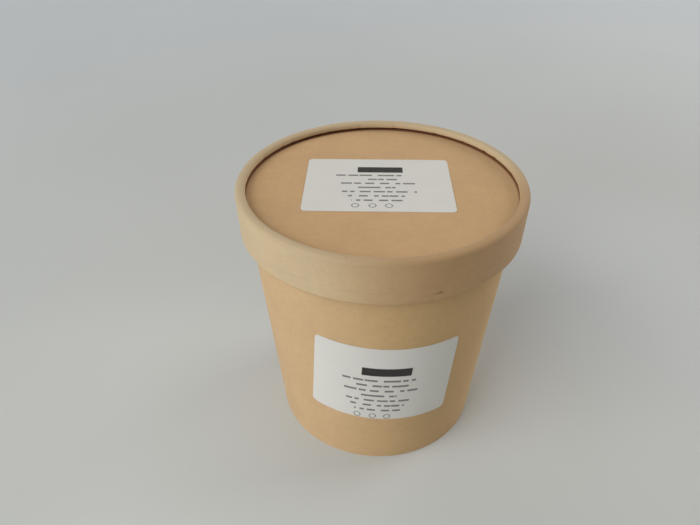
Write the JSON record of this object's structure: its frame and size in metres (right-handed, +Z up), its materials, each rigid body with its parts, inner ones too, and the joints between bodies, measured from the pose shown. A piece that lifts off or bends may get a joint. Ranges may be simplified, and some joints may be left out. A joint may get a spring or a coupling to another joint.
{
  "type": "kraft soup bowl",
  "caption": "Round kraft paper soup bowl with a tapered wall, rolled rim and recessed base, closed by a lift-off kraft paper lid; plain white labels on lid and wall.",
  "frame": {"origin": "centre of the bowl's foot, on the surface that it stands on", "axes": "+Z up along the bowl's axis, -Y towards the labels, +X to the right when the labels are read"},
  "size_m": [0.1174, 0.1174, 0.1175],
  "materials": {
    "bowl_board": "uncoated brown kraft board outside, thin film inside",
    "lid_board": "uncoated brown kraft board",
    "label_paper": "matt white label paper"
  },
  "bodies": {
    "bowl": {"bowl_wall": "bowl_board", "bowl_base": "bowl_board", "bowl_label": "label_paper"},
    "lid": {"lid_skirt": "lid_board", "lid_disc": "lid_board", "lid_label": "label_paper"}
  },
  "joints": [
    {"name": "lid_lift", "type": "slide", "parent": "bowl", "child": "lid", "axis": [0, 0, 1], "range_m": [0, 0.05]}
  ]
}
